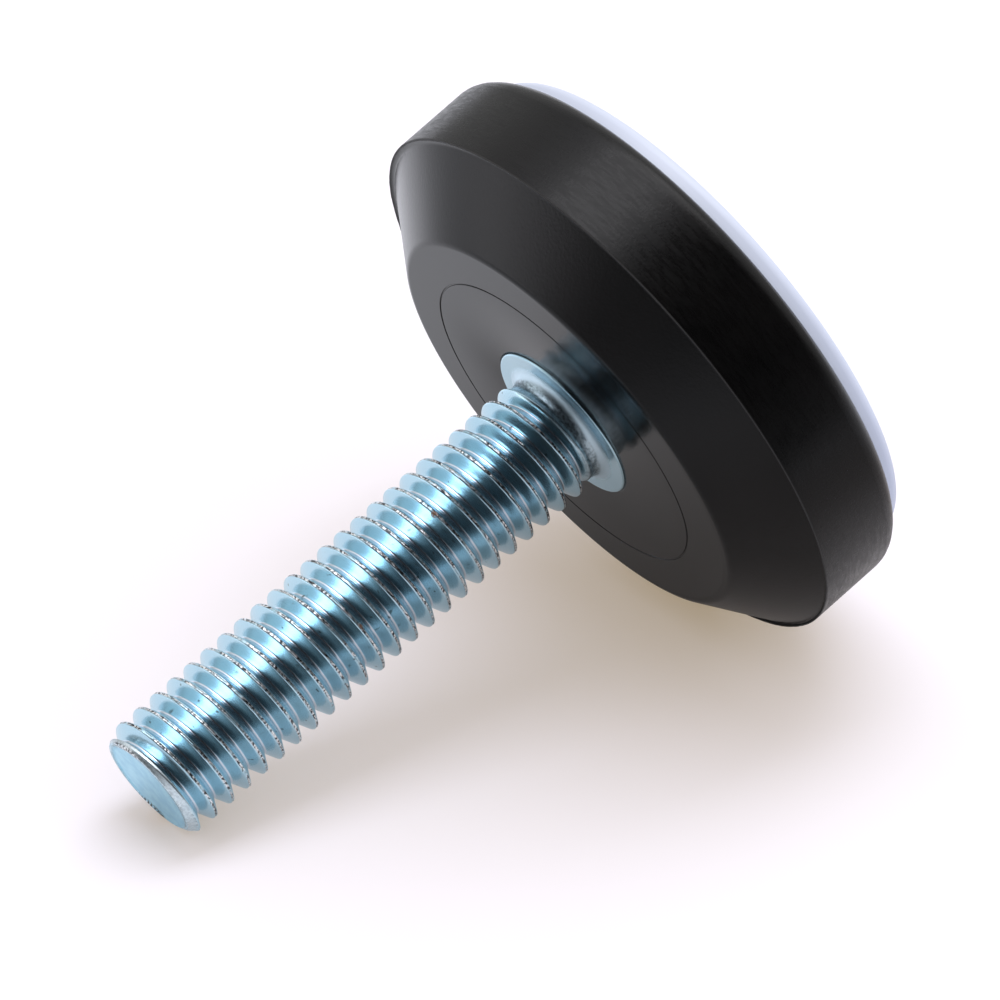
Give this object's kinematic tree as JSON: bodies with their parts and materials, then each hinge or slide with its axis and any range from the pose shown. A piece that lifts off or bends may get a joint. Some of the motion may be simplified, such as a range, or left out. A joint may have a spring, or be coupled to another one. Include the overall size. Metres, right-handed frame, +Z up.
{
  "type": "threaded furniture glide",
  "caption": "Round furniture glide: a threaded steel stud in a flared rubber cushion over a smooth plastic slide pad.",
  "frame": {"origin": "middle of the slide pad's sole, on the floor", "axes": "+Z up along the stud, from the pad to the tip; X and Y are any two directions square to it, as the glide is round"},
  "size_m": [0.028, 0.028, 0.0333],
  "materials": {
    "zinc_plated_steel": "bright zinc plating with a pale blue cast",
    "black_rubber": "moulded, satin",
    "white_plastic": "smooth, waxy white"
  },
  "bodies": {
    "root": {"stud": "zinc_plated_steel", "cushion": "black_rubber", "slide_pad": "white_plastic"}
  },
  "joints": []
}
